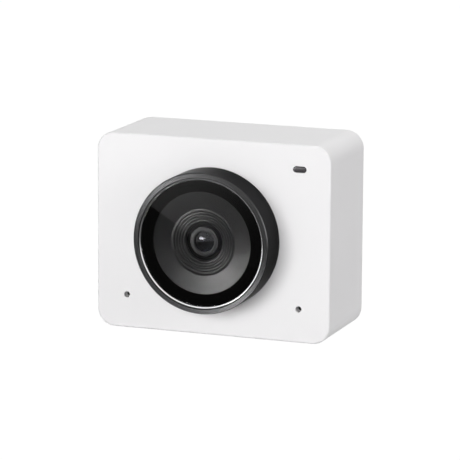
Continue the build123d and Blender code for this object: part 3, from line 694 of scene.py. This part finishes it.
def make_front_glass():
    """Front glass of the lens: a dome, a flat rim and a hollow back."""
    tip = levels_of("front_lens_element")[0]
    outer = radius_of("front_lens_element")
    rim = tip + glass_bulge
    back = rim + glass_rim_depth
    dome_radius, dome_rise = bowl(glass_clear_radius, glass_bulge)
    back_radius, back_rise = bowl(glass_back_radius, glass_hollow)
    radius = np.concatenate([dome_radius, [outer, outer], back_radius[::-1]])
    level = np.concatenate([rim - dome_rise, [rim, back], (back - back_rise)[::-1]])
    form = solid_form(radius, level, glass_sides)
    return add_piece("front_glass", form, "lens_glass", "lens_group", ["front_lens_element"])


coil_inner = 3.7 * MM
coil_turns = 16
coil_turn_points = 8
coil_groove_depth = 0.03 * MM
coil_sides = 128


def make_coil():
    """Winding, with a groove round its outside between each two turns of wire.

    The groove's depth is d (1 - |sin(pi n s)|), where s runs from 0 to 1 along it and n is the number
    of turns.
    """
    front, rear = levels_of("actuator_coil")
    outer = radius_of("actuator_coil")
    s = np.linspace(0, 1, coil_turn_points * coil_turns + 1)
    groove = coil_groove_depth * (1 - np.abs(np.sin(math.pi * coil_turns * s)))
    radius = np.append(outer - groove, [coil_inner, coil_inner])
    level = np.append(front + (rear - front) * s, [rear, front])
    form = ring_form(radius, level, coil_sides)
    return add_piece("focus_winding", form, "coil_copper", "lens_group", ["actuator_coil"])


spring_ring_inner = 3.1 * MM
spring_ring_outer = 3.65 * MM
spring_opening = 4.75 * MM
spring_squareness = 8.0
spring_sides = 160
spring_arm_width = 0.25 * MM
spring_arm_count = 4
spring_arm_sweep = math.radians(50)
spring_arm_points = 40
spring_wave = 0.2 * MM


def spring_arm(turned, front, rear):
    """Bent arm from the inner ring to the frame, starting at an angle round the lens axis.

    Its radius grows evenly with t from 0 to 1, plus w sin(4 pi t), and its angle grows evenly too.
    """
    t = np.linspace(0, 1, spring_arm_points)
    start_radius = (spring_ring_inner + spring_ring_outer) / 2
    end_radius = spring_opening + spring_arm_width
    path_radius = start_radius + (end_radius - start_radius) * t + spring_wave * np.sin(4 * math.pi * t)
    path_angle = turned + spring_arm_sweep * t
    centre = np.stack([
        path_radius * np.cos(path_angle),
        np.full_like(t, (front + rear) / 2),
        lens_z + path_radius * np.sin(path_angle),
    ], -1)
    run = np.gradient(centre, axis=0)
    run /= np.linalg.norm(run, axis=1, keepdims=True)
    up = np.tile([0.0, 1.0, 0.0], (len(t), 1))
    return strip_form(centre, spring_arm_width / 2, (rear - front) / 2, np.cross(run, up), up)


def make_leaf_spring(name, node):
    """Etched spring: square frame, inner ring and waved arms between them.

    The frame's outer radius at angle a is that of a rounded square, h (|cos a|^n + |sin a|^n)^(-1/n).
    """
    front, rear = levels_of(node)
    angle = np.linspace(0, 2 * math.pi, spring_sides, endpoint=False)
    n = spring_squareness
    square = radius_of(node) * (np.abs(np.cos(angle)) ** n + np.abs(np.sin(angle)) ** n) ** (-1 / n)
    opening = np.full(spring_sides, spring_opening)
    levels = [front, front, rear, rear]
    frame_ring = ring_form(np.stack([square, opening, opening, square]), levels, spring_sides)
    inner_ring = ring_form(
        [spring_ring_outer, spring_ring_inner, spring_ring_inner, spring_ring_outer],
        levels,
        spring_sides,
    )
    turns = 2 * math.pi * np.arange(spring_arm_count) / spring_arm_count
    arms = [spring_arm(turned, front, rear) for turned in turns]
    form = joined([outward(part) for part in [frame_ring, inner_ring, *arms]])
    piece = add_piece(name, form, "spring_metal", body=None, stands_for=[node])
    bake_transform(piece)
    return piece


# Screws, insert and light window

slot_width = 0.34 * MM
slot_length_share = 0.62
slot_depth_share = 0.55
slot_edge = 0.05 * MM
head_fall = 0.3
head_side_top = 0.6
thread_depth_share = 0.28
thread_rows_per_turn = 6
point_turns = 0.4
point_radius_share = 0.45


def screw_form(middle, seat, head_end, tip, radius, head_radius, pitch, sides, rows):
    """Pan-head screw with a cross recess and a thread.

    The head's height over its seat is H (1 - f s^4) less the recess, where s is the share of the
    head's radius and f is how much its edge falls. The recess has its full depth where |x| or |z| is
    under half the slot's width, within the slots' reach.
    """
    height = head_end - seat
    angle = np.linspace(0, 2 * math.pi, sides, endpoint=False)
    s = np.linspace(0, 1, rows)[1:, None]
    x = np.abs(head_radius * s * np.cos(angle))
    z = np.abs(head_radius * s * np.sin(angle))
    reach = slot_length_share * head_radius

    def arm(across, along):
        within = smooth_step((slot_width / 2 - across) / slot_edge + 0.5)
        return within * smooth_step((reach - along) / slot_edge + 0.5)

    recess = slot_depth_share * np.maximum(arm(x, z), arm(z, x))
    top_level = seat + height * (1 - head_fall * s**4 - recess)
    top_radius = np.repeat(head_radius * s, sides, 1)
    turns = abs(tip - seat) / pitch
    shank_end = tip + point_turns * (seat - tip) / turns
    shank_level = np.linspace(seat, shank_end, int(thread_rows_per_turn * turns))
    cut = thread(shank_level, seat, shank_end, pitch, thread_depth_share * pitch, sides)
    point = np.full((1, sides), point_radius_share * radius)
    radii = np.vstack([
        np.zeros((1, sides)),
        top_radius,
        np.full((2, sides), head_radius),
        radius - cut,
        point,
        np.zeros((1, sides)),
    ])
    flat = np.ones((1, sides))
    levels = np.vstack([
        flat * (seat + height * (1 - slot_depth_share)),
        top_level,
        flat * (seat + head_side_top * height),
        flat * seat,
        shank_level[:, None] * flat,
        flat * tip,
        flat * tip,
    ])
    return outward(solid_form(radii, levels, sides, middle))


def make_screws(name, node, finish, places, seat, radius, head_radius, pitch, sides=40, rows=12):
    """The same screw at each place, head to the back. Its ends are those of the CAD node."""
    tip, head_end = levels_of(node)
    forms = [screw_form(p, seat, head_end, tip, radius, head_radius, pitch, sides, rows) for p in places]
    return add_piece(name, joined(forms), finish, stands_for=[node], sharp_angle=38.0)


def square_places(x, z):
    """Four places round the lens axis."""
    return [(i * x, lens_z + j * z) for i in (-1, 1) for j in (-1, 1)]


bezel_screw_offset = 12.925 * MM / math.sqrt(2)
microphone_x = 12.5 * MM
microphone_z = 6.9 * MM


def make_all_screws():
    """Screws of the rear cover, the bezel, the heat plate, the main board and the microphones."""
    make_screws(
        "rear_screws",
        "cover_screws",
        "screw_dark",
        square_places(x=21.4 * MM, z=16.5 * MM),
        seat=12.9 * MM,
        radius=0.8 * MM,
        head_radius=1.45 * MM,
        pitch=0.6 * MM,
        sides=96,
        rows=30,
    )
    make_screws(
        "ring_screws",
        "bezel_screws",
        "screw_steel",
        square_places(bezel_screw_offset, bezel_screw_offset),
        seat=-5.3 * MM,
        radius=0.6 * MM,
        head_radius=1.05 * MM,
        pitch=0.45 * MM,
    )
    make_screws(
        "plate_screws",
        "spreader_screws",
        "screw_steel",
        square_places(x=12.6 * MM, z=6 * MM),
        seat=-2.3 * MM,
        radius=0.7 * MM,
        head_radius=1.25 * MM,
        pitch=0.5 * MM,
    )
    make_screws(
        "circuit_screws",
        "board_screws",
        "screw_steel",
        square_places(x=19.5 * MM, z=7.5 * MM),
        seat=7.5 * MM,
        radius=0.8 * MM,
        head_radius=1.4 * MM,
        pitch=0.6 * MM,
    )
    make_screws(
        "pickup_screws",
        "microphone_screws",
        "screw_steel",
        [(-microphone_x, microphone_z), (microphone_x, microphone_z)],
        seat=-3.8 * MM,
        radius=0.6 * MM,
        head_radius=1.1 * MM,
        pitch=0.45 * MM,
    )


insert_middle = (0.0, 0.8 * MM)
insert_pitch = 1.27 * MM
insert_thread_depth = 0.55 * MM
insert_bore = 2.55 * MM
insert_groove_depth = 0.3 * MM
insert_groove_width = 1.2 * MM
insert_edge = 0.12 * MM
insert_mouth = 0.35 * MM
insert_rows = 84
insert_sides = 96


def make_insert():
    """Brass bush with a tripod thread cut into its bore, and a groove round its outside.

    The bore widens at its mouth below.
    """
    low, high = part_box("tripod_insert")
    outer = radius_of("tripod_insert")
    bottom, top = low.z, high.z
    middle = (bottom + top) / 2
    half_groove = insert_groove_width / 2
    groove = outer - insert_groove_depth
    outside = np.array([
        (outer - insert_edge, bottom),
        (outer, bottom + insert_edge),
        (outer, middle - half_groove),
        (groove, middle - half_groove),
        (groove, middle + half_groove),
        (outer, middle + half_groove),
        (outer, top - insert_edge),
        (outer - insert_edge, top),
    ])
    bore_level = np.linspace(top, bottom, insert_rows)
    cut = thread(bore_level, top, bottom, insert_pitch, insert_thread_depth, insert_sides)
    radius = np.vstack([
        np.repeat(outside[:, :1], insert_sides, 1),
        insert_bore + cut[:-2],
        np.full((1, insert_sides), insert_bore + insert_mouth),
    ])
    level = np.concatenate([outside[:, 1], bore_level[:-2], [bottom]])
    form = ring_form(radius, level, insert_sides, insert_middle, upright=True)
    return add_piece("threaded_insert", form, "insert_brass", stands_for=["tripod_insert"])


front_wall = 1.8 * MM
light_width = 2.74 * MM
light_height = 1.19 * MM
light_flange_margin = 0.5 * MM
light_flange_thickness = 0.6 * MM
light_edge = 0.3 * MM
light_edge_points = 9
light_recess = 0.06 * MM
light_sides = 64


def make_light_window():
    """Rounded window over the status light, on a flange behind the wall.

    Each row is the window's outline drawn in by d: two straight runs of length w - h and a half
    circle of radius h/2 - d at either end. Under 0, d makes the flange. Along the front edge, as a
    runs over a quarter turn, d is e (1 - cos a) and the level is e (1 - sin a) behind the front.
    """
    low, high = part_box("led_light_pipe")
    middle_x, middle_z = (low.x + high.x) / 2, (low.z + high.z) / 2
    wall_back = face_y + front_wall
    front = face_y + light_recess
    half = light_height / 2
    turn = np.linspace(math.pi / 2, 0, light_edge_points)
    flange_back = wall_back + light_flange_thickness
    flange_inset = [0, -light_flange_margin, -light_flange_margin, 0, 0]
    inset = np.concatenate([light_edge * (1 - np.cos(turn)), flange_inset])
    behind = [wall_back, wall_back, flange_back, flange_back, high.y]
    level = np.concatenate([front + light_edge * (1 - np.sin(turn)), behind])
    angle = 2 * math.pi * (np.arange(light_sides) + 0.5) / light_sides
    radius = (half - inset)[:, None]
    straight = (light_width - light_height) / 2
    x = middle_x + np.sign(np.cos(angle)) * straight + radius * np.cos(angle)
    z = middle_z + radius * np.sin(angle)
    y = np.broadcast_to(level[:, None], x.shape)
    points = np.stack([x, y, z], -1).reshape(-1, 3)
    ends = np.array([(middle_x, level[0], middle_z), (middle_x, level[-1], middle_z)])
    first = np.arange(light_sides)
    last = first + (len(level) - 1) * light_sides
    faces = [
        grid_faces(len(level), light_sides, False, True),
        cap_faces(first, len(points)),
        cap_faces(last[::-1], len(points) + 1),
    ]
    form = np.vstack([points, ends]), faces
    return add_piece("light_window", form, "pipe_smoke", stands_for=["led_light_pipe"])


make_bezel()
make_trim()
make_window()
make_funnel()
make_barrel()
make_front_glass()
make_coil()
make_leaf_spring("front_spring", "upper_leaf_spring")
make_leaf_spring("rear_spring", "lower_leaf_spring")
make_all_screws()
make_insert()
make_light_window()


# Floor, lamps and camera

def background_share(material):
    """1 for rays that see the background: from the camera, off gloss, or through glass."""
    path = add_node(material, "LightPath")
    widest = path.outputs["Is Camera Ray"]
    for name in ("Is Glossy Ray", "Is Transmission Ray"):
        larger = add_node(material, "Math", operation="MAXIMUM")
        link(material, widest, larger.inputs[0])
        link(material, path.outputs[name], larger.inputs[1])
        widest = larger.outputs["Value"]
    return widest


floor_reach = 6.0
floor_white = 1.1
floor_white_share = 0.9
floor_tone = (0.5, 0.49, 0.5)
floor_drop = 0.03 * MM
card_rise = 0.4 * MM

# Places on the floor, in metres: edges of the cards along X and along Y, the corners of the slanted
# edge that the two left cards share, and where the fading begins and ends along X
card_left = -0.08
card_middle = 0.01
card_right = 0.16
card_far = -0.24
card_near = -0.036
slant_start = (card_left, -0.165)
slant_end = (-0.02, -0.0822)
slant_level_end = (card_middle, -0.0822)
foot_near = -0.008
foot_inner = -0.03
foot_behind = 0.25
fade_start_x = -0.02
fade_end_x = -0.064


def make_floor():
    """Pale floor: it shows white, less the object's shadow, and from below it is clear."""
    material = bpy.data.materials.new("pale_floor")
    material.use_nodes = True
    material.node_tree.nodes.clear()
    output = add_node(material, "OutputMaterial")
    matt = add_node(material, "BsdfDiffuse")
    matt.inputs["Color"].default_value = (*floor_tone, 1.0)
    white = add_node(material, "Emission")
    white.inputs["Strength"].default_value = floor_white
    mix = add_node(material, "MixShader")
    share = add_node(material, "Math", operation="MULTIPLY")
    share.inputs[1].default_value = floor_white_share
    link(material, background_share(material), share.inputs[0])
    link(material, share.outputs["Value"], mix.inputs[0])
    link(material, matt.outputs[0], mix.inputs[1])
    link(material, white.outputs[0], mix.inputs[2])
    below = add_node(material, "NewGeometry").outputs["Backfacing"]
    clear = add_node(material, "BsdfTransparent")
    sides = add_node(material, "MixShader")
    link(material, below, sides.inputs[0])
    link(material, mix.outputs[0], sides.inputs[1])
    link(material, clear.outputs[0], sides.inputs[2])
    link(material, sides.outputs[0], output.inputs["Surface"])
    corners = np.array([(-1, -1, 0), (1, -1, 0), (1, 1, 0), (-1, 1, 0)], float) * floor_reach
    corners[:, 2] = -floor_drop
    mesh = bpy.data.meshes.new("floor")
    mesh.from_pydata(corners.tolist(), [], [(0, 1, 2, 3)])
    mesh.materials.append(material)
    floor = bpy.data.objects.new("floor", mesh)
    bpy.context.scene.collection.objects.link(floor)


def make_world():
    """World that shows white as a background and gives no light of its own."""
    world = bpy.data.worlds.new("studio")
    world.use_nodes = True
    world.node_tree.nodes.clear()
    output = add_node(world, "OutputWorld")
    white = add_node(world, "Background")
    white.inputs["Color"].default_value = (1.0, 1.0, 1.0, 1.0)
    link(world, background_share(world), white.inputs["Strength"])
    link(world, white.outputs[0], output.inputs["Surface"])
    bpy.context.scene.world = world


def softbox(name, direction, distance, width, height, radiance):
    """Area lamp that faces the body's middle. Its power is pi times its area times its radiance."""
    lamp = bpy.data.lights.new(name, "AREA")
    lamp.shape = "RECTANGLE"
    lamp.size = width
    lamp.size_y = height
    lamp.energy = math.pi * width * height * radiance
    item = bpy.data.objects.new(name, lamp)
    way = Vector(direction).normalized()
    item.location = Vector((0, 0, lens_z)) + way * distance
    item.rotation_euler = way.to_track_quat("Z", "Y").to_euler()
    bpy.context.scene.collection.objects.link(item)
    return item


def make_card(name, corners, glow, end_glow=None):
    """Card just above the floor that only mirrors and glass see: it sets what the window shows.

    Its glow may grow along X: it is glow + (end_glow - glow) t^2, where t runs from 0 at the fade's
    start to 1 at its end.
    """
    material = bpy.data.materials.new(name)
    material.use_nodes = True
    material.node_tree.nodes.clear()
    output = add_node(material, "OutputMaterial")
    light = add_node(material, "Emission")
    light.inputs["Strength"].default_value = glow
    if end_glow is not None:
        place = add_node(material, "TexCoord").outputs["Object"]
        across = add_node(material, "SeparateXYZ")
        link(material, place, across.inputs["Vector"])
        share = add_node(material, "MapRange")
        share.inputs["From Min"].default_value = fade_start_x
        share.inputs["From Max"].default_value = fade_end_x
        link(material, across.outputs["X"], share.inputs["Value"])
        squared = add_node(material, "Math", operation="MULTIPLY")
        link(material, share.outputs["Result"], squared.inputs[0])
        link(material, share.outputs["Result"], squared.inputs[1])
        total = add_node(material, "Math", operation="MULTIPLY_ADD")
        total.inputs[1].default_value = end_glow - glow
        total.inputs[2].default_value = glow
        link(material, squared.outputs["Value"], total.inputs[0])
        link(material, total.outputs["Value"], light.inputs["Strength"])
    link(material, light.outputs[0], output.inputs["Surface"])
    mesh = bpy.data.meshes.new(name)
    mesh.from_pydata([(x, y, card_rise) for x, y in corners], [], [tuple(range(len(corners)))])
    mesh.materials.append(material)
    card = bpy.data.objects.new(name, mesh)
    card.visible_camera = False
    card.visible_diffuse = False
    card.visible_shadow = False
    bpy.context.scene.collection.objects.link(card)


def make_cards():
    """Four cards: dark and fading ones at the left, one at the right, and one at the body's foot."""
    make_card("dark_card", [
        slant_start,
        slant_end,
        slant_level_end,
        (card_middle, card_near),
        (card_left, card_near),
    ], glow=0.034)
    make_card("faded_card", [
        slant_start,
        (card_left, card_far),
        (card_middle, card_far),
        slant_level_end,
        slant_end,
    ], glow=0.05, end_glow=0.42)
    make_card("side_card", [
        (card_middle, card_far),
        (card_right, card_far),
        (card_right, card_near),
        (card_middle, card_near),
    ], glow=0.14)
    make_card("foot_card", [
        (card_left, card_near),
        (card_right, card_near),
        (card_right, foot_near),
        (foot_inner, foot_near),
        (foot_inner, foot_behind),
        (card_left, foot_behind),
    ], glow=0.2)


def make_lamps():
    """Softboxes in front, behind and at the right, and two at the left that only gloss shows.

    The front one lights without showing in gloss or through glass.
    """
    front = softbox("front_light", (-0.1, -0.98, 0.12), 1.0, width=0.76, height=0.64, radiance=7.6)
    front.visible_glossy = False
    front.visible_transmission = False
    softbox("rear_light", (0.0, 0.5, 0.85), 0.8, width=0.5, height=0.5, radiance=4.4)
    softbox("side_light", (0.95, -0.2, 0.2), 0.7, width=0.4, height=0.4, radiance=3.5)
    softbox("corner_light", (0.72, 0.05, 0.7), 0.7, width=0.2, height=0.2, radiance=4.0)
    glint = softbox("glint_light", (-0.60, -0.79, 0.105), 0.6, width=0.26, height=0.24, radiance=17.0)
    glint.visible_diffuse = False
    fan = softbox("fan_light", (-0.402, -0.902, 0.14), 0.6, width=0.26, height=0.16, radiance=5.9)
    fan.visible_diffuse = False


def make_camera():
    """Camera at the photograph's viewing angle."""
    azimuth = math.radians(20.557)
    elevation = math.radians(11.427)
    roll = math.radians(0.314)
    distance = 630.6 * MM
    target = Vector((3.827 * MM, face_y, lens_z + 1.856 * MM))
    back = Vector((
        math.sin(azimuth) * math.cos(elevation),
        -math.cos(azimuth) * math.cos(elevation),
        math.sin(elevation),
    ))
    level = Vector((math.cos(azimuth), math.sin(azimuth), 0))
    upright = back.cross(level)
    right = level * math.cos(roll) + upright * math.sin(roll)
    up = upright * math.cos(roll) - level * math.sin(roll)
    data = bpy.data.cameras.new("camera")
    data.sensor_width = 36.0
    data.lens = 246.35
    data.clip_start = 0.02
    data.clip_end = 30.0
    camera = bpy.data.objects.new("camera", data)
    turn = Matrix((right, up, back)).transposed()
    camera.matrix_world = Matrix.Translation(target + back * distance) @ turn.to_4x4()
    bpy.context.scene.collection.objects.link(camera)
    bpy.context.scene.camera = camera


make_floor()
make_world()
make_cards()
make_lamps()
make_camera()
bpy.context.scene.view_settings.view_transform = "Standard"
